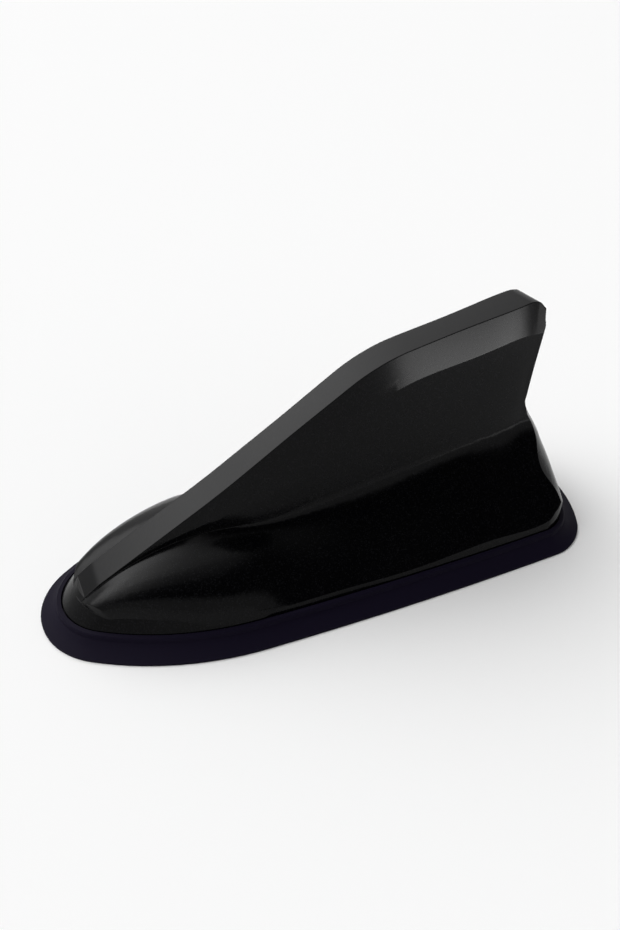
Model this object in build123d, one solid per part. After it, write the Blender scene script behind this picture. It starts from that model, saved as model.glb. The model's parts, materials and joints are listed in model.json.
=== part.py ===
from build123d import *
from math import cos, sin, tan, acos, radians
import os

os.makedirs("parts", exist_ok=True)

# A stick-on shark fin aerial for a car roof: nose towards -X, tail towards +X, +Z up.
# The origin is the middle of the base, on the roof. All sizes are millimetres, all angles degrees.

# Plan of the gasket, the widest outline: arcs that turn from the nose to the tail
length = 170.0
width = 76.0
nose_radius = 22.7
corner_radius = 12.0
least_corner = 1.0
tail_shoulder_radius = 20.5
nose_turn = 54.0
cheek_turn = 85.5
corner_turn = 104.0
tail_shoulder_turn = 147.0

# Gasket: a skirt that flares from the housing's foot to a thin edge on the roof
flare = 6.3
gasket_height = 4.9
gasket_edge = 0.7
gasket_floor = 1.2
skirt_hollow_run = 0.55
skirt_hollow_rise = 0.4
lip_width = 1.1
lip_rise = 1.5
lip_lean = 0.5
lip_gap = 0.3
lip_depth = 1.3

# Fin from the side: heights over the roof, places as shares of the run from fin nose to rear edge
fin_nose_set = 11.2
rear_edge_set = 20.6
nose_height = 9.2
bow_share = 0.04
bow_height = 12.9
slope_share = 0.295
slope_height = 31.0
knee_share = 0.637
knee_height = 58.6
tip_share = 1.055
tip_height = 68.2
bow_radius = 18.0
slope_radius = 260.0
knee_radius = 55.0
tip_radius = 9.5
tip_depth = 20.0

# Fin from the front, and the band round its foot
ridge_width = 9.6
facet_spread = 1.8
full_facet = 0.1325
wall_draft = 2.0
nose_lean = 45.0
side_lean = 20.0
band_reach = 14.0
nose_blunting = 5.0
band_nose_out = 15.0
band_tail_out = 3.2
apron_run = 86.5
apron_fall = 4.0
apron_share = 0.365
cheek_share = 0.24
cheek_out = 1.0
cheek_nose_back = 4.4
cheek_lean = 8.0
cheek_reach = 30.0

# Flank stations: share along the fin, height of the facet under the ridge and of the plain wall under
# the facet as shares of the tip's height, then in mm how far the foot overhangs the band, a handle out
# and up where the wall rolls into the foot, and a handle in and up at the foot's shoulder. The bluff
# cheeks of the front stations stand inside the band, and those behind them are cut by it
stations = (
    (-0.06, 0.0044, 0.0015, -2.0, (3.0, -1.2), (1.5, -3.5)),
    (0.0275, 0.0044, 0.0015, -2.2, (3.4, 0.2), (0.6, 8.4)),
    (0.1216, 0.0133, 0.0059, -1.9, (7.2, -0.4), (1.7, 12.0)),
    (0.208, 0.0412, 0.0265, -0.75, (7.6, -2.0), (2.9, 14.0)),
    (0.29, 0.0884, 0.0589, -0.57, (3.3, -4.0), (4.0, 16.2)),
    (0.375, 0.1473, 0.1105, 0.6, (0.3, -4.4), (12.7, 14.2)),
    (0.5, 0.168, 0.206, 1.4, (0.3, -7.5), (15.1, 11.3)),
    (0.621, 0.1502, 0.3358, 2.0, (0.3, -6.5), (16.2, 7.9)),
    (0.7, 0.128, 0.3778, 2.0, (0.3, -6.6), (15.6, 9.0)),
    (0.85, 0.13, 0.3888, 2.0, (0.3, -6.8), (14.6, 11.2)),
    (1.0, 0.139, 0.3897, 2.0, (0.3, -7.0), (13.5, 13.3)),
)

# Rear stations: height over the roof, radius in plan and how far the rear is set in from the tail's end.
# The first four make the flare above the base, and the last of these is the neck where the rear edge starts
rear_stations = (
    (4.9, 52.0, 5.8),
    (14.0, 33.5, 8.6),
    (24.0, 14.5, 10.8),
    (36.0, 9.6, 16.8),
    (47.0, 9.2, 16.0),
    (56.0, 8.9, 15.0),
    (80.0, 8.9, 14.6),
)
neck_station = 3

# Housing shell and the bosses that hold the base plate
wall = 2.2
boss_radius = 3.2
clearance = 0.2
thread_fit = 0.05
front_boss_set = 39.0
front_boss_in = 26.0
rear_boss_set = 35.0
rear_boss_in = 17.0

# Adhesive pad and base plate
pad_thickness = 0.8
pad_margin = 4.0
plate_thickness = 2.0
plate_screw_radius = 1.2
plate_screw_head_radius = 2.4
plate_screw_head = 1.0
plate_screw_length = 6.0
slot_width = 0.7
slot_depth = 0.5
rib_length = 26.0
rib_width = 1.2
rib_height = 1.2
rib_in = 18.5

# Circuit board on its standoffs
standoff = 2.0
standoff_radius = 2.6
board_length = 74.0
board_width = 30.0
board_thickness = 1.2
board_set = 50.0
board_screw_inset = 3.6
board_screw_radius = 0.9
board_screw_head_radius = 1.8
board_screw_head = 0.9
board_screw_length = 2.6

# Winding on its mast, with the sheet that loads its top
mast_set = 17.0
mast_radius = 2.2
mast_foot_length = 16.0
mast_foot_width = 8.0
mast_foot_height = 1.6
coil_wire = 0.9
coil_wire_sides = 8
coil_pitch = 3.6
coil_turns = 6
coil_start = 3.0
top_sheet = 0.5
top_sheet_height = 9.0
top_sheet_gap = 2.0
top_sheet_ahead = 17.0
top_sheet_behind = 14.0
fork_wall = 0.9
fork_length = 9.0
fork_floor = 2.0
fork_grip = 3.0
foam_length = 12.0
foam_width = 4.0
clip_width = 3.0
clip_foot = 3.6
clip_sheet = 0.4

# Pieces on the board: length, width and height, and places from the board's middle
shield_length = 19.0
shield_width = 13.0
shield_height = 3.2
shield_sheet = 0.4
shield_x = -20.0
shield_y = -2.5
vent_radius = 0.7
vent_pitch = 4.0
chip_length = 5.0
chip_width = 4.0
chip_height = 1.2
pin_length = 1.0
pin_width = 0.5
pin_height = 0.3
pin_pitch = 1.27
pins_a_side = 4
chip_x = -1.0
chip_y = -5.5
capacitor_size = (2.0, 1.25, 0.9)
capacitor_places = ((-8.0, -9.5), (-8.0, -4.0), (6.0, -11.0), (26.0, -8.0), (26.0, 8.0))
resistor_size = (1.6, 0.8, 0.5)
resistor_places = ((-8.0, -7.0), (-3.0, -11.0), (1.0, -11.0), (-14.0, 8.0), (-11.0, 8.0), (26.0, 5.0))
choke_size = (4.0, 4.0, 2.4)
choke_rounding = 0.8
choke_x = -8.0
choke_y = 3.0
can_radius = 2.5
can_height = 5.2
can_rounding = 0.4
can_x = 0.0
can_y = 6.0
socket_length = 7.0
socket_width = 5.0
socket_height = 4.2
barrel_radius = 1.5
barrel_length = 3.0
barrel_pin_radius = 0.4
barrel_wall = 0.5

# Cable outlet in the base
grommet_set = 33.0
grommet_bore = 1.6
grommet_radius = 4.0
grommet_flange_radius = 5.5
grommet_flange = 1.2
grommet_lift = 0.4

# How far the helper solids reach past the part
facet_top = 5.0
below_base = 10.0
far_out = 200.0

# Heights of the stack, from the roof upwards
seat = pad_thickness + gasket_floor
plate_top = seat + plate_thickness
board_low = plate_top + standoff
board_top = board_low + board_thickness

# Places along the part
fin_nose = -length / 2 + fin_nose_set
rear_edge = length / 2 - rear_edge_set
fin_run = rear_edge - fin_nose
board_x = -length / 2 + board_set + board_length / 2
mast_x = board_x + board_length / 2 - mast_set
grommet_x = length / 2 - grommet_set
front_boss = (-length / 2 + front_boss_set, width / 2 - front_boss_in)
rear_boss = (length / 2 - rear_boss_set, width / 2 - rear_boss_in)
boss_places = [(x, side * y) for x, y in (front_boss, rear_boss) for side in (1, -1)]
board_screw_x = board_length / 2 - board_screw_inset
board_screw_y = board_width / 2 - board_screw_inset
board_screw_places = [(board_x + a * board_screw_x, b * board_screw_y) for a in (1, -1) for b in (1, -1)]


def along(share):
    return fin_nose + share * fin_run


ridge_points = (
    (fin_nose, nose_height),
    (along(bow_share), bow_height),
    (along(slope_share), slope_height),
    (along(knee_share), knee_height),
    (along(tip_share), tip_height),
)


def mix(share, low, high):
    return low + share * (high - low)


def ridge_height(x):
    for left, right in zip(ridge_points, ridge_points[1:]):
        if x <= right[0]:
            break
    return mix((x - left[0]) / (right[0] - left[0]), left[1], right[1])


def rod(radius, low, high, x=0.0, y=0.0):
    return extrude(Face(Wire.make_circle(radius, Plane((x, y, low)))), high - low, dir=(0, 0, 1))


def block(size, x, y, low):
    return Box(*size, align=(Align.CENTER, Align.CENTER, Align.MIN)).moved(Location((x, y, low)))


# Plan outline: tangent arcs, each given by its start, its radius and the turns it runs between

def plan_arcs(inset, nose_back=0.0, tail_out=0.0):
    turns = [radians(a) for a in (0, nose_turn, cheek_turn, 90, corner_turn, tail_shoulder_turn, 180)]
    half = width / 2 - inset
    nose = nose_radius - inset
    corner = max(corner_radius - inset, least_corner)
    shoulder = tail_shoulder_radius - inset
    tail_half = half - corner * (1 - sin(turns[4])) - shoulder * (sin(turns[4]) - sin(turns[5]))
    tail = tail_half / sin(turns[5])
    shoulder_run = shoulder * (cos(turns[4]) - cos(turns[5]))
    tail_run = tail * (1 + cos(turns[5])) + shoulder_run - corner * cos(turns[4])
    start = -length / 2 + inset + nose_back
    run = length / 2 - inset + tail_out - tail_run - start - nose * (1 - cos(turns[1]))
    rise = half - nose * sin(turns[1])
    a = cos(turns[1]) - cos(turns[2])
    b = cos(turns[2])
    c = sin(turns[2]) - sin(turns[1])
    d = 1 - sin(turns[2])
    cheek = (run * d - rise * b) / (a * d - b * c)
    side = (rise * a - run * c) / (a * d - b * c)
    arcs = []
    point = (start, 0.0)
    for radius, begin, end in zip((nose, cheek, side, corner, shoulder, tail), turns, turns[1:]):
        arcs.append((point, radius, begin, end))
        point = on_arc(arcs[-1], end)
    return arcs


def on_arc(arc, turn):
    (x, y), radius, begin, end = arc
    return x + radius * (cos(begin) - cos(turn)), y + radius * (sin(turn) - sin(begin))


def plan_wire(z, inset, nose_back=0.0, tail_out=0.0):
    arcs = plan_arcs(inset, nose_back, tail_out)

    def place(arc, turn, side):
        x, y = on_arc(arc, turn)
        return (x, side * y, z)

    def piece(arc, side, backwards):
        begin, end = (arc[3], arc[2]) if backwards else (arc[2], arc[3])
        middle = (begin + end) / 2
        return ThreePointArc(*[place(arc, turn, side) for turn in (begin, middle, end)])

    nose, tail = arcs[0], arcs[-1]
    edges = [ThreePointArc(place(nose, nose[3], 1), place(nose, nose[2], 1), place(nose, nose[3], -1))]
    edges += [piece(arc, -1, False) for arc in arcs[1:-1]]
    edges.append(ThreePointArc(place(tail, tail[2], -1), place(tail, tail[3], 1), place(tail, tail[2], 1)))
    edges += [piece(arc, 1, True) for arc in reversed(arcs[1:-1])]
    return Wire(edges)


def plan_half_width(x, inset):
    arcs = plan_arcs(inset)
    for arc in arcs[:3]:
        if x <= on_arc(arc, arc[3])[0]:
            break
    (start, _), radius, begin, end = arc
    x = max(x, arcs[0][0][0] + nose_blunting)
    turn = acos(max(cos(begin) - (x - start) / radius, cos(end)))
    return on_arc(arc, turn)[1]


def plan_solid(low, high, inset):
    return extrude(Face(plan_wire(low, inset)), high - low, dir=(0, 0, 1))


# Fin: flanks lofted from nose to rear edge, with a rounded rear, trimmed by the ridge and the base band

def station(share):
    for left, right in zip(stations, stations[1:]):
        if share <= right[0]:
            break
    blend = (share - left[0]) / (right[0] - left[0])
    facet = tip_height * mix(blend, left[1], right[1])
    straight = tip_height * mix(blend, left[2], right[2])
    overhang = mix(blend, left[3], right[3])
    roll = [mix(blend, a, b) for a, b in zip(left[4], right[4])]
    shoulder = [mix(blend, a, b) for a, b in zip(left[5], right[5])]
    return facet, straight, overhang, roll, shoulder


def flank_section(share, inset):
    facet, straight, overhang, roll, shoulder = station(share)
    x = along(share)
    top = ridge_height(x) - inset
    ridge_y = ridge_width / 2 - inset
    full = full_facet * tip_height
    edge_y = plan_half_width(x, flare) + overhang - inset
    peak = (ridge_y - facet_spread * facet_top / full, top + facet_top)
    crease = (ridge_y + facet_spread * min(facet / full, 1.0), top - facet)
    foot = (crease[0] + straight * tan(radians(wall_draft)), crease[1] - straight)
    roll_out = (foot[0] + roll[0], foot[1] + roll[1])
    brow = (edge_y - shoulder[0], gasket_height + shoulder[1] - inset)
    edge = (edge_y, gasket_height - inset)
    base = (edge_y, -below_base)

    def half(side):
        def place(point):
            return (x, side * point[0], point[1])

        return [
            Line(place(base), place(edge)),
            Bezier(place(edge), place(brow), place(roll_out), place(foot)),
            Line(place(foot), place(crease)),
            Line(place(crease), place(peak)),
        ]

    top_line = Line((x, peak[0], peak[1]), (x, -peak[0], peak[1]))
    bottom_line = Line((x, base[0], base[1]), (x, -base[0], base[1]))
    return Wire(half(1) + half(-1) + [top_line, bottom_line])


def above_ridge(inset):
    front, first = ridge_points[0], ridge_points[1]
    steep = (first[1] - front[1]) / (first[0] - front[0])
    ahead = (front[0] - fin_nose_set, front[1] - fin_nose_set * steep)
    path = [(x, 0, z - inset) for x, z in (ahead, *ridge_points[1:-1])]
    tip_x = ridge_points[-1][0] - inset
    path += [(tip_x, 0, tip_height - inset), (tip_x, 0, tip_height - tip_depth - inset)]
    skyline = FilletPolyline(*path, radius=(bow_radius, slope_radius, knee_radius, tip_radius))
    begin, end = path[0], path[-1]
    corners = [(far_out, 0, end[2]), (far_out, 0, far_out), (-far_out, 0, far_out), (-far_out, 0, begin[2])]
    around = Polyline(end, *corners, begin)
    return extrude(Face(Wire(skyline.edges() + around.edges())), width, both=True, dir=(0, 1, 0))


def rear_solid(inset):
    rings = []
    for height, radius, rear_set in rear_stations:
        centre = (length / 2 - rear_set - radius, 0, height)
        rings.append(Wire.make_circle(radius - inset, Plane(centre, x_dir=(-1, 0, 0))))
    return Solid.make_loft(rings[:neck_station + 1]) + Solid.make_loft(rings[neck_station:])


def side_band(inset, nose_back):
    side_in = band_reach * tan(radians(side_lean))
    foot_inset = flare + lip_gap + inset
    foot = plan_wire(gasket_height, foot_inset)
    head = plan_wire(gasket_height + band_reach, foot_inset + side_in, nose_back, band_tail_out)
    return Solid.make_loft([foot, head], ruled=True)


# What trims the flanks to the band: a block with a pocket that leans in at the sides and out at the nose
def side_trim(inset):
    depth = gasket_height + band_reach + 2 * below_base
    return block((far_out, far_out, depth), 0, 0, -2 * below_base) - side_band(inset, -band_nose_out)


# What rounds the nose of the cheeks, in plan
def nose_trim(inset):
    side_in = cheek_reach * tan(radians(cheek_lean))
    foot_inset = flare + lip_gap - cheek_out + inset
    foot = plan_wire(gasket_height, foot_inset, cheek_nose_back)
    head = plan_wire(gasket_height + cheek_reach, foot_inset + side_in, cheek_nose_back)
    ahead = block((far_out, far_out, cheek_reach), along(cheek_share) - far_out / 2, 0, gasket_height)
    return ahead - Solid.make_loft([foot, head], ruled=True)


def fin_body(inset):
    end_share = 1 - inset / fin_run
    shares = [place[0] for place in stations[:-1]] + [end_share]
    front = Solid.make_loft([flank_section(share, inset) for share in shares])
    rear = extrude(Face(flank_section(end_share, inset)), length / 2, dir=(1, 0, 0)) & rear_solid(inset)
    return front + rear - above_ridge(inset) - nose_trim(inset) - side_trim(inset)


# Apron: the band in front of the cheeks, with a top that falls towards the tail
def apron():
    end = -length / 2 + apron_run
    stop = along(apron_share)
    fall = tan(radians(apron_fall))
    profile = [
        (stop, 0, gasket_height),
        (stop, 0, gasket_height + (end - stop) * fall),
        (-length, 0, gasket_height + (end + length) * fall),
        (-length, 0, gasket_height),
    ]
    under = extrude(Face(Wire(Polyline(*profile, close=True).edges())), width, both=True, dir=(0, 1, 0))
    nose_back = band_reach * (tan(radians(nose_lean)) - tan(radians(side_lean)))
    return side_band(0, nose_back) & under


# Housing: the fin hollowed out from below, on a foot that sits in the gasket, with bosses for the screws
lip_low = gasket_height - lip_depth
foot = plan_solid(seat, lip_low, flare) + plan_solid(lip_low, gasket_height, flare + lip_gap)
rim_inset = flare + lip_gap + wall
outside = fin_body(0) + apron() + foot
inside = fin_body(wall) + plan_solid(seat, gasket_height, rim_inset)
bosses = [rod(boss_radius, plate_top, tip_height, x, y) & outside for x, y in boss_places]
pilots = [
    rod(plate_screw_radius + thread_fit, plate_top, seat + plate_screw_head + plate_screw_length, x, y)
    for x, y in boss_places
]
fin_housing = (outside - inside + bosses) - pilots

# Gasket: skirt, lip and floor, hollowed for the housing above and for the pad below
lip_inset = flare - lip_width
lip_foot = gasket_height - lip_rise
skirt_run = lip_inset - lip_lean
skirt_steps = (
    (0.0, 0.0),
    (0.0, gasket_edge),
    (skirt_run * skirt_hollow_run, mix(skirt_hollow_rise, gasket_edge, lip_foot)),
    (skirt_run, lip_foot),
    (lip_inset - lip_lean / 2, gasket_height - lip_lean / 2),
    (lip_inset, gasket_height),
)
outlines = [plan_wire(z, inset) for inset, z in skirt_steps]
skirt = Solid.make_loft(outlines, ruled=True)
pad_inset = flare + pad_margin
base_gasket = skirt - plan_solid(seat, far_out, flare) - plan_solid(0, pad_thickness, pad_inset - clearance)
base_gasket -= rod(grommet_radius, 0, seat, grommet_x)

# Adhesive pad under the gasket's floor
adhesive_pad = plan_solid(0, pad_thickness, pad_inset)
adhesive_pad -= rod(grommet_radius + clearance, 0, pad_thickness, grommet_x)

# Base plate with standoffs for the board, ribs and counterbored screw holes
head_top = seat + plate_screw_head
plate = plan_solid(seat, plate_top, rim_inset + clearance)
plate += [rod(standoff_radius, plate_top, board_low, x, y) for x, y in board_screw_places]
rib_y = width / 2 - rib_in
plate += [block((rib_length, rib_width, rib_height), board_x, y, plate_top) for y in (rib_y, -rib_y)]
plate -= [rod(plate_screw_head_radius + clearance, seat, head_top, x, y) for x, y in boss_places]
plate -= [rod(plate_screw_radius + clearance, head_top, plate_top, x, y) for x, y in boss_places]
plate -= [rod(board_screw_radius + thread_fit, plate_top, board_low, x, y) for x, y in board_screw_places]
base_plate = plate - rod(grommet_radius, seat, plate_top, grommet_x)

# Screws: four for the plate, heads down, and four for the board, heads up


def plate_screw(x, y):
    head = rod(plate_screw_head_radius, seat, head_top, x, y)
    slot = block((2 * plate_screw_head_radius, slot_width, slot_depth), x, y, seat)
    return head - slot + rod(plate_screw_radius, head_top, head_top + plate_screw_length, x, y)


def board_screw(x, y):
    top = board_top + board_screw_head
    head = rod(board_screw_head_radius, board_top, top, x, y)
    slot = block((2 * board_screw_head_radius, slot_width, slot_depth), x, y, top - slot_depth)
    return head - slot + rod(board_screw_radius, board_top - board_screw_length, board_top, x, y)


plate_screws = Compound(children=[plate_screw(x, y) for x, y in boss_places])
board_screws = Compound(children=[board_screw(x, y) for x, y in board_screw_places])

# Circuit board
circuit_board = block((board_length, board_width, board_thickness), board_x, 0, board_low)
board_hole = board_screw_radius + clearance
circuit_board -= [rod(board_hole, board_low, board_top, x, y) for x, y in board_screw_places]

# Former: foot, mast and a fork that grips the top sheet
sheet_front = mast_x - top_sheet_ahead
sheet_back = mast_x + top_sheet_behind
sheet_drop = wall + top_sheet_gap
sheet_low = ridge_height(sheet_front) - sheet_drop - top_sheet_height
mast_low = board_top + mast_foot_height
fork_low = sheet_low - fork_floor
fork_width = top_sheet + 2 * fork_wall
former = block((mast_foot_length, mast_foot_width, mast_foot_height), mast_x, 0, board_top)
former += rod(mast_radius, mast_low, fork_low, mast_x)
former += block((fork_length, fork_width, fork_floor + fork_grip), mast_x, 0, fork_low)
coil_former = former - block((fork_length, top_sheet, fork_grip), mast_x, 0, sheet_low)

# Winding round the mast, from the feed contact upwards
coil_low = mast_low + coil_start
coil_radius = mast_radius + coil_wire / 2 + thread_fit
coil_path = Helix(coil_pitch, coil_pitch * coil_turns, coil_radius).rotate(Axis.Z, 180).moved(
    Location((mast_x, 0, coil_low))
)
coil_end = Plane(origin=coil_path @ 0, z_dir=coil_path % 0)
wire_section = RegularPolygon(coil_wire / 2, coil_wire_sides)
antenna_coil = sweep(coil_end * wire_section, path=coil_path, is_frenet=True)

# Top sheet under the ridge, with a foam strip between it and the roof of the fin
knee_x = along(knee_share)
sheet_corners = [
    (sheet_front, 0, sheet_low),
    (sheet_back, 0, sheet_low),
    (sheet_back, 0, ridge_height(sheet_back) - sheet_drop),
    (knee_x, 0, knee_height - sheet_drop),
    (sheet_front, 0, ridge_height(sheet_front) - sheet_drop),
]
sheet_face = Face(Wire(Polyline(*sheet_corners, close=True).edges()))
top_load_plate = extrude(sheet_face, top_sheet / 2, both=True, dir=(0, 1, 0))
foam_ends = (sheet_back - foam_length, sheet_back)
foam_corners = [(x, 0, ridge_height(x) - sheet_drop) for x in foam_ends]
foam_corners += [(x, 0, ridge_height(x) - wall - thread_fit) for x in reversed(foam_ends)]
foam_face = Face(Wire(Polyline(*foam_corners, close=True).edges()))
foam_damper = extrude(foam_face, foam_width / 2, both=True, dir=(0, 1, 0))

# Feed contact: a bent strip from the board to the foot of the winding
clip_back = mast_x - mast_foot_length / 2 - clip_sheet
clip_end = mast_x - coil_radius - coil_wire / 2
clip_rise = coil_low + clip_sheet / 2 - board_top
clip_reach = clip_end - clip_back
feed_contact = block((clip_foot, clip_width, clip_sheet), clip_back - clip_foot / 2, 0, board_top)
feed_contact += block((clip_sheet, clip_width, clip_rise), clip_back - clip_sheet / 2, 0, board_top)
feed_contact += block(
    (clip_reach, clip_width, clip_sheet), clip_back + clip_reach / 2, 0, coil_low - clip_sheet / 2
)

# Shield can over the receiver, vented on top and open below
shield_at = (board_x + shield_x, shield_y)
shield_can = block((shield_length, shield_width, shield_height), *shield_at, board_top)
shield_can -= block(
    (shield_length - 2 * shield_sheet, shield_width - 2 * shield_sheet, shield_height - shield_sheet),
    *shield_at,
    board_top,
)
vent_steps = (-vent_pitch, 0, vent_pitch)
vents = [(shield_at[0] + x, shield_at[1] + y) for x in vent_steps for y in vent_steps]
shield_can -= [rod(vent_radius, board_top, board_top + shield_height, x, y) for x, y in vents]

# Amplifier chip with its pins
chip_at = (board_x + chip_x, chip_y)
amplifier_chip = block((chip_length, chip_width, chip_height), *chip_at, board_top)
pin_y = (chip_width + pin_length) / 2
for side in (1, -1):
    for k in range(pins_a_side):
        pin_at = (chip_at[0] + (k - (pins_a_side - 1) / 2) * pin_pitch, chip_at[1] + side * pin_y)
        amplifier_chip += block((pin_width, pin_length, pin_height), *pin_at, board_top)

# Small pieces on the board


def set_on_board(size, places):
    return Compound(children=[block(size, board_x + x, y, board_top) for x, y in places])


chip_capacitors = set_on_board(capacitor_size, capacitor_places)
chip_resistors = set_on_board(resistor_size, resistor_places)
choke = block(choke_size, board_x + choke_x, choke_y, board_top)
choke_inductor = fillet(choke.edges().filter_by(Axis.Z), choke_rounding)
can = rod(can_radius, board_top, board_top + can_height, board_x + can_x, can_y)
electrolytic_capacitor = fillet(can.edges().sort_by(Axis.Z)[-1], can_rounding)

# Socket for the aerial lead at the board's rear edge
socket_x = board_x + board_length / 2
barrel_z = board_top + socket_height / 2
barrel_plane = Plane((socket_x, 0, barrel_z), x_dir=(0, 1, 0), z_dir=(1, 0, 0))


def barrel(radius, reach):
    return extrude(Face(Wire.make_circle(radius, barrel_plane)), reach, dir=(1, 0, 0))


coax_socket = block(
    (socket_length, socket_width, socket_height), socket_x - socket_length / 2, 0, board_top
)
coax_socket += barrel(barrel_radius, barrel_length)
coax_socket -= barrel(barrel_radius - barrel_wall, barrel_length)
coax_socket += barrel(barrel_pin_radius, barrel_length)

# Grommet where the lead leaves through the roof
flange_top = plate_top + grommet_flange
cable_grommet = rod(grommet_radius, grommet_lift, plate_top, grommet_x)
cable_grommet += rod(grommet_flange_radius, plate_top, flange_top, grommet_x)
cable_grommet -= rod(grommet_bore, grommet_lift, flange_top, grommet_x)

nodes = {
    "fin_housing": fin_housing,
    "base_gasket": base_gasket,
    "adhesive_pad": adhesive_pad,
    "base_plate": base_plate,
    "plate_screws": plate_screws,
    "circuit_board": circuit_board,
    "board_screws": board_screws,
    "coil_former": coil_former,
    "antenna_coil": antenna_coil,
    "top_load_plate": top_load_plate,
    "foam_damper": foam_damper,
    "feed_contact": feed_contact,
    "shield_can": shield_can,
    "amplifier_chip": amplifier_chip,
    "chip_capacitors": chip_capacitors,
    "chip_resistors": chip_resistors,
    "choke_inductor": choke_inductor,
    "electrolytic_capacitor": electrolytic_capacitor,
    "coax_socket": coax_socket,
    "cable_grommet": cable_grommet,
}
for name, shape in nodes.items():
    export_step(shape, f"parts/{name}.step")
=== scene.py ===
import json
import math

import bpy
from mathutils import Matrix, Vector

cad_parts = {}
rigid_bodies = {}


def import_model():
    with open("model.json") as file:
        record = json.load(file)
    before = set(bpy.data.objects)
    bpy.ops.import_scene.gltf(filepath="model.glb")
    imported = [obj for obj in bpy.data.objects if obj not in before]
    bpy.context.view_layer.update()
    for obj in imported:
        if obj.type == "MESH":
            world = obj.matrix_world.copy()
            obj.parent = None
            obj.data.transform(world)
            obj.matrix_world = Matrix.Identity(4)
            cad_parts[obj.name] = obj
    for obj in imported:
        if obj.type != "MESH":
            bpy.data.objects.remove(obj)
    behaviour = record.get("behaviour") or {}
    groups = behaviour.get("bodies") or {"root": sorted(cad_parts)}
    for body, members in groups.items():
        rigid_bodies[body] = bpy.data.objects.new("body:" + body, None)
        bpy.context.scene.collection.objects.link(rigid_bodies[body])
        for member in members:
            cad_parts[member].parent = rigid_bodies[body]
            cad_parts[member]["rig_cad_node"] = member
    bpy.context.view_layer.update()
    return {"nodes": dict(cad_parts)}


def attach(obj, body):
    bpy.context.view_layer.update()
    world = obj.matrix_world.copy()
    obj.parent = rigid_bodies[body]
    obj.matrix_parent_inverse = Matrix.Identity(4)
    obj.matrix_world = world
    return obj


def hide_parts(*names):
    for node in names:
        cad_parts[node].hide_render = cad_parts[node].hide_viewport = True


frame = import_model()
nodes = frame["nodes"]

MM = 0.001

# Finishes: sizes of flake and grain, and the rounding that the gloss moulding's edges are shaded with
FLAKE_SIZE = 0.3 * MM
EDGE_ROUNDING = 0.35 * MM
RUBBER_GRAIN = 0.5 * MM
GRAIN_DEPTH = 0.05 * MM
GRAIN_DETAIL = 2.0
PLASTIC_IOR = 1.5

# Sockets of the Mix node, whose names repeat for each kind of value
MIX_FACTOR = 0
MIX_NUMBERS = (2, 3)
MIX_COLOURS = (6, 7)
MIXED_NUMBER = 0
MIXED_COLOUR = 2

# Copies of CAD nodes: faces to cut out, points to merge, and angles in degrees past which an edge is sharp
SLIVER_AREA = 0.005 * MM ** 2
MERGE_DISTANCE = 0.002 * MM
FIN_ANGLE = 18
GASKET_ANGLE = 24
CREASE_ANGLE = 5.0
FLATS_WEIGHT = 80

# Where the crease under the fin's upper facet lies, and how steeply it may run
CREASE_LOWEST = 33 * MM
CREASE_FOREMOST = -15 * MM
CREASE_HALF_WIDTH = 9.5 * MM
CREASE_SLOPE = 0.35


# Colours are written as sRGB hex values and turned to linear here
def colour(hex_value):
    parts = [int(hex_value[i:i + 2], 16) / 255 for i in (1, 3, 5)]
    linear = [p / 12.92 if p <= 0.04045 else ((p + 0.055) / 1.055) ** 2.4 for p in parts]
    return (*linear, 1.0)


# Adds one node: settings are its own properties, and an input takes a value or another node's output
def add(tree, kind, settings=None, inputs=None):
    node = tree.nodes.new(kind)
    for name, value in (settings or {}).items():
        setattr(node, name, value)
    for name, value in (inputs or {}).items():
        if isinstance(value, bpy.types.NodeSocket):
            tree.links.new(value, node.inputs[name])
        else:
            node.inputs[name].default_value = value
    return node


def new_material(name):
    material = bpy.data.materials.new(name)
    material.use_nodes = True
    material.node_tree.nodes.clear()
    return material, material.node_tree


# Gloss black ABS with a fine pearl flake, moulded in a polished tool: deep black where it mirrors the
# dark side of the room, clear reflections along its ridge and a faint sparkle on its rounded cheeks.
# The flakes are drawn at about 0.3 mm, coarser than real ones, so that they show. Its moulded edges are
# shaded as if rounded by about 0.35 mm. Its specular level is below that of real gloss plastic, so that
# the panels stay dark over the white floor.
def pearl_black_abs():
    material, tree = new_material("pearl_black_abs")
    place = add(tree, "ShaderNodeTexCoord")
    flake = add(tree, "ShaderNodeTexVoronoi", {"feature": "F1"},
                {"Vector": place.outputs["Object"], "Scale": 1 / FLAKE_SIZE})
    pick = add(tree, "ShaderNodeSeparateColor", inputs={"Color": flake.outputs["Color"]})
    amount = add(tree, "ShaderNodeMapRange", {"interpolation_type": "SMOOTHSTEP"},
                 {"Value": pick.outputs["Red"], "From Min": 0.72, "From Max": 1.0})
    black, pearl = MIX_COLOURS
    base = add(tree, "ShaderNodeMix", {"data_type": "RGBA"}, {
        MIX_FACTOR: amount.outputs["Result"], black: colour("#030304"), pearl: colour("#101012")})
    edge = add(tree, "ShaderNodeBevel", {"samples": 8}, {"Radius": EDGE_ROUNDING})
    shader = add(tree, "ShaderNodeBsdfPrincipled", inputs={
        "Base Color": base.outputs[MIXED_COLOUR], "Roughness": 0.17, "IOR": PLASTIC_IOR,
        "Specular IOR Level": 0.1, "Normal": edge.outputs["Normal"]})
    add(tree, "ShaderNodeOutputMaterial", inputs={"Surface": shader.outputs["BSDF"]})
    return material


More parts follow.
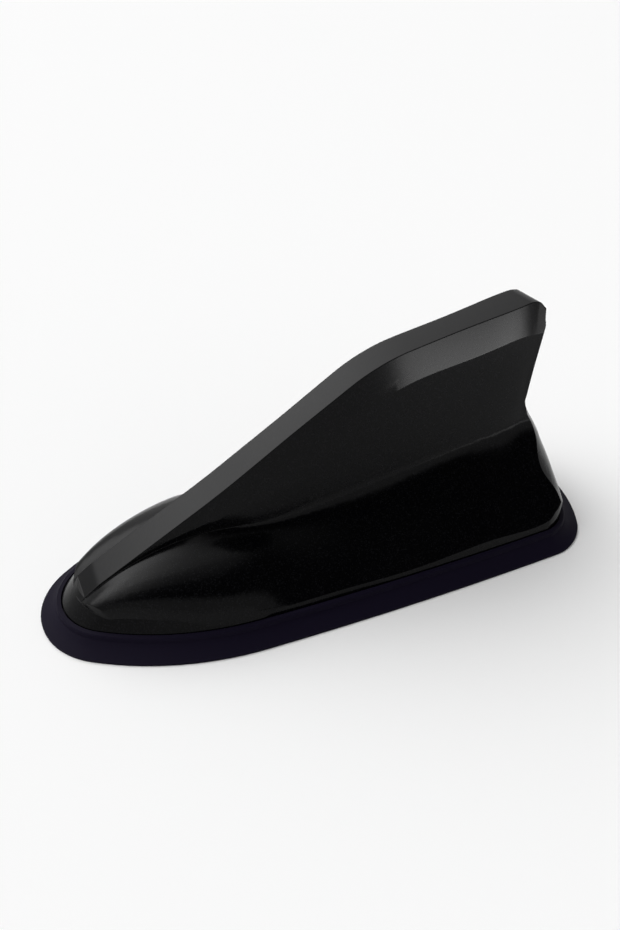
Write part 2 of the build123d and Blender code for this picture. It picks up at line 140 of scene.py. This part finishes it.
# Soft PVC rubber, moulded satin: dark violet grey, with a broad dull sheen
def violet_grey_rubber():
    material, tree = new_material("violet_grey_rubber")
    place = add(tree, "ShaderNodeTexCoord")
    grain = add(tree, "ShaderNodeTexNoise", inputs={
        "Vector": place.outputs["Object"], "Scale": 1 / RUBBER_GRAIN, "Detail": GRAIN_DETAIL})
    bump = add(tree, "ShaderNodeBump", inputs={
        "Height": grain.outputs["Fac"], "Strength": 0.12, "Distance": GRAIN_DEPTH})
    shader = add(tree, "ShaderNodeBsdfPrincipled", inputs={
        "Base Color": colour("#120e1d"), "Roughness": 0.6, "IOR": PLASTIC_IOR,
        "Specular IOR Level": 0.05, "Normal": bump.outputs["Normal"]})
    add(tree, "ShaderNodeOutputMaterial", inputs={"Surface": shader.outputs["BSDF"]})
    return material


# A plain finish with a fine grain: what is hidden inside needs no more
def grained(name, hex_value, roughness, metallic=0.0, grain_mm=0.4, depth=0.1):
    material, tree = new_material(name)
    place = add(tree, "ShaderNodeTexCoord")
    grain = add(tree, "ShaderNodeTexNoise", inputs={
        "Vector": place.outputs["Object"], "Scale": 1 / (grain_mm * MM), "Detail": GRAIN_DETAIL})
    bump = add(tree, "ShaderNodeBump", inputs={
        "Height": grain.outputs["Fac"], "Strength": depth, "Distance": GRAIN_DEPTH})
    shader = add(tree, "ShaderNodeBsdfPrincipled", inputs={
        "Base Color": colour(hex_value), "Roughness": roughness, "Metallic": metallic,
        "Normal": bump.outputs["Normal"]})
    add(tree, "ShaderNodeOutputMaterial", inputs={"Surface": shader.outputs["BSDF"]})
    return material


finishes = {
    "fin_housing": pearl_black_abs(),
    "base_gasket": violet_grey_rubber(),
    "adhesive_pad": grained("acrylic_foam_tape", "#3a3a3c", 0.8, grain_mm=0.6, depth=0.3),
    "base_plate": grained("black_abs_plate", "#1d1d1f", 0.55),
    "plate_screws": grained("zinc_plated_steel", "#b9bcc0", 0.35, metallic=1.0),
    "circuit_board": grained("green_solder_mask", "#1c5b33", 0.4),
    "coil_former": grained("natural_nylon", "#ddd8cb", 0.5),
    "antenna_coil": grained("enamelled_copper", "#b8632f", 0.3, metallic=1.0),
    "top_load_plate": grained("tinned_steel", "#c9cacb", 0.3, metallic=1.0),
    "foam_damper": grained("polyurethane_foam", "#3c3c3f", 0.95, grain_mm=0.8, depth=0.6),
    "feed_contact": grained("spring_brass", "#c9a45c", 0.3, metallic=1.0),
    "amplifier_chip": grained("moulded_epoxy", "#222224", 0.6),
    "chip_capacitors": grained("fired_ceramic", "#b39a78", 0.5),
    "choke_inductor": grained("sintered_ferrite", "#4a4b4e", 0.6),
    "electrolytic_capacitor": grained("drawn_aluminium", "#c4c6c8", 0.3, metallic=1.0),
    "cable_grommet": grained("black_rubber", "#161617", 0.6),
}
same_finish = {
    "board_screws": "plate_screws",
    "shield_can": "top_load_plate",
    "chip_resistors": "amplifier_chip",
    "coax_socket": "feed_contact",
}
for name, piece in nodes.items():
    piece.data.materials.clear()
    piece.data.materials.append(finishes[same_finish.get(name, name)])


# Says whether an edge lies on the crease between the fin's upper facet and the panel under it
def on_crease(start, end):
    middle = (start + end) / 2
    run = end - start
    level_run = run.length > 0 and abs(run.z) < CREASE_SLOPE * run.length
    high = middle.z > CREASE_LOWEST
    return level_run and high and middle.x > CREASE_FOREMOST and abs(middle.y) < CREASE_HALF_WIDTH


# Runs smoothly from 0 at low to 1 at high
def ramp(value, low, high):
    part = min(max((value - low) / (high - low), 0.0), 1.0)
    return part * part * (3 - 2 * part)


# Rounds the back of the fin as the photograph shows it: a hollow under the neck, a fuller wall below it,
# and softer corners where the tip turns to the back. All its values are millimetres but to_one, which
# brings the highest point of the two curves to 1.
def round_back(piece):
    neck, middle, foot = 36.5, 23.0, 5.0
    hollow, fullness = 1.3, 1.5
    wall_start, wall_full = 60.0, 68.0
    tip_half_width, tip_rounding = 4.6, 1.6
    tip_start, tip_full = 64.0, 69.0
    tip_low, tip_high = 58.5, 63.0
    to_one = 6.75
    for point in piece.data.vertices:
        x, y, z = point.co / MM
        above = (neck - z) / (neck - middle)
        below = (middle - z) / (middle - foot)
        back = 0.0
        if 0 < above < 1:
            back = -hollow * to_one * above * (1 - above) ** 2
        elif 0 < below < 1:
            back = fullness * to_one * below ** 2 * (1 - below)
        back *= ramp(x, wall_start, wall_full)
        side = min((y / tip_half_width) ** 2, 1.0)
        back -= tip_rounding * side * ramp(x, tip_start, tip_full) * ramp(z, tip_low, tip_high)
        point.co.x += back * MM


# A smooth-shaded copy of a CAD node, its loose triangles merged, that stands for the node. Slivers where
# two cuts nearly touch are taken out and the holes closed. Edges sharper than the angle stay sharp, and
# so does a shallow crease.
def smooth_copy(node, name, angle, reshape=None, crease=None):
    bpy.ops.object.select_all(action="DESELECT")
    source = nodes[node]
    bpy.context.view_layer.objects.active = source
    source.select_set(True)
    bpy.ops.object.duplicate()
    piece = bpy.context.view_layer.objects.active
    piece.name = name
    piece.parent = None
    del piece["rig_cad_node"]
    bpy.ops.mesh.customdata_custom_splitnormals_clear()
    bpy.ops.object.mode_set(mode="EDIT")
    bpy.ops.mesh.select_mode(type="FACE")
    bpy.ops.mesh.select_all(action="DESELECT")
    bpy.ops.object.mode_set(mode="OBJECT")
    for face in piece.data.polygons:
        face.select = face.area < SLIVER_AREA
    bpy.ops.object.mode_set(mode="EDIT")
    bpy.ops.mesh.delete(type="FACE")
    bpy.ops.mesh.select_all(action="SELECT")
    bpy.ops.mesh.remove_doubles(threshold=MERGE_DISTANCE)
    bpy.ops.mesh.fill_holes(sides=0)
    bpy.ops.mesh.quads_convert_to_tris()
    bpy.ops.object.mode_set(mode="OBJECT")
    if reshape:
        reshape(piece)
    bpy.ops.object.shade_smooth_by_angle(angle=math.radians(angle))
    if crease:
        bpy.ops.object.mode_set(mode="EDIT")
        bpy.ops.mesh.select_mode(type="EDGE")
        bpy.ops.mesh.select_all(action="DESELECT")
        bpy.ops.mesh.edges_select_sharp(sharpness=math.radians(CREASE_ANGLE))
        bpy.ops.object.mode_set(mode="OBJECT")
        points = piece.data.vertices
        for edge in piece.data.edges:
            start, end = (points[i].co for i in edge.vertices)
            edge.select = edge.select and crease(start, end)
        bpy.ops.object.mode_set(mode="EDIT")
        bpy.ops.mesh.mark_sharp()
        bpy.ops.object.mode_set(mode="OBJECT")
    flats = piece.modifiers.new("flats", "WEIGHTED_NORMAL")
    flats.mode = "FACE_AREA"
    flats.weight = FLATS_WEIGHT
    flats.keep_sharp = True
    bpy.ops.object.modifier_apply(modifier=flats.name)
    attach(piece, "root")
    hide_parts(node)


smooth_copy("fin_housing", "moulded_fin", FIN_ANGLE, round_back, on_crease)
smooth_copy("base_gasket", "moulded_gasket", GASKET_ANGLE)

# Floor: a sheet of white paper that fills the view
floor_size = 12.0
bpy.ops.object.select_all(action="DESELECT")
bpy.ops.mesh.primitive_plane_add(size=floor_size)
floor = bpy.context.view_layer.objects.active
floor.name = "paper_floor"
paper, paper_tree = new_material("white_paper")
paper_shader = add(paper_tree, "ShaderNodeBsdfPrincipled", inputs={
    "Base Color": colour("#fbfbfb"), "Roughness": 0.9, "Specular IOR Level": 0.1})
add(paper_tree, "ShaderNodeOutputMaterial", inputs={"Surface": paper_shader.outputs["BSDF"]})
floor.data.materials.append(paper)

# World: a room with pale walls, whose ceiling is light behind and to the left of the object, and dark
# in front of it and to the right
light_side = (-0.5, 0.75, 0.4)
light_starts, light_full = -0.15, 1.0
light_gathers = 3.0
ceiling_light, ceiling_dark = 5.05, 0.04
wall_light = 0.73
wall_ends, ceiling_starts = 0.3, 0.55
world = bpy.data.worlds.new("studio")
bpy.context.scene.world = world
world.use_nodes = True
sky = world.node_tree
sky.nodes.clear()
look = add(sky, "ShaderNodeTexCoord")
towards = add(sky, "ShaderNodeVectorMath", {"operation": "DOT_PRODUCT"},
              {0: look.outputs["Generated"], 1: light_side})
rise = add(sky, "ShaderNodeMapRange", inputs={
    "Value": towards.outputs["Value"], "From Min": light_starts, "From Max": light_full})
swell = add(sky, "ShaderNodeMath", {"operation": "POWER"},
            {0: rise.outputs["Result"], 1: light_gathers})
ceiling = add(sky, "ShaderNodeMath", {"operation": "MULTIPLY_ADD"},
              {0: swell.outputs["Value"], 1: ceiling_light, 2: ceiling_dark})
height = add(sky, "ShaderNodeSeparateXYZ", inputs={"Vector": look.outputs["Generated"]})
upward = add(sky, "ShaderNodeMapRange", {"interpolation_type": "SMOOTHSTEP"}, {
    "Value": height.outputs["Z"], "From Min": wall_ends, "From Max": ceiling_starts})
low, high = MIX_NUMBERS
room = add(sky, "ShaderNodeMix", {"data_type": "FLOAT"}, {
    MIX_FACTOR: upward.outputs["Result"], low: wall_light, high: ceiling.outputs["Value"]})
light = add(sky, "ShaderNodeBackground", inputs={
    "Color": colour("#ffffff"), "Strength": room.outputs[MIXED_NUMBER]})
add(sky, "ShaderNodeOutputWorld", inputs={"Surface": light.outputs["Background"]})

# Softbox low in front and to the right, which the upper facet mirrors. Its spread is narrow, so that the
# edge between the panel and the flank doesn't catch it.
softbox_place = Vector((0.125, -0.135, 0.036))
softbox_aim = Vector((0.048, -0.006, 0.074))
softbox_width, softbox_height = 0.09, 0.04
softbox_strength = 0.4
softbox_spread = 28
lamp = bpy.data.lights.new("facet_softbox", "AREA")
lamp.shape = "RECTANGLE"
lamp.size, lamp.size_y = softbox_width, softbox_height
lamp.energy = softbox_strength * math.pi * softbox_width * softbox_height
lamp.spread = math.radians(softbox_spread)
softbox = bpy.data.objects.new("facet_softbox", lamp)
bpy.context.scene.collection.objects.link(softbox)
softbox.location = softbox_place
softbox.rotation_euler = (softbox_aim - softbox_place).to_track_quat("-Z", "Y").to_euler()

# Camera at the photograph's angle, with the photograph's framing: the centre is where the origin falls in
# the picture, in pixels
photo_width, photo_height = 620, 930
azimuth = math.radians(-25.8795)
elevation = math.radians(40.5836)
distance = 0.225678
pixels_per_mm = 3.2011
centre = (322.25, 538.54)
sensor = 36.0
nearest = 0.005
level = math.cos(elevation)
back = Vector((math.sin(azimuth) * level, -math.cos(azimuth) * level, math.sin(elevation)))
camera_data = bpy.data.cameras.new("camera")
camera = bpy.data.objects.new("camera", camera_data)
bpy.context.scene.collection.objects.link(camera)
camera.location = back * distance
camera.rotation_euler = (-back).to_track_quat("-Z", "Y").to_euler()
camera_data.sensor_width = sensor
camera_data.lens = pixels_per_mm * distance / MM * sensor / photo_height
camera_data.shift_x = (photo_width / 2 - centre[0]) / photo_height
camera_data.shift_y = (centre[1] - photo_height / 2) / photo_height
camera_data.clip_start = nearest
bpy.context.scene.camera = camera
bpy.context.scene.view_settings.view_transform = "Standard"
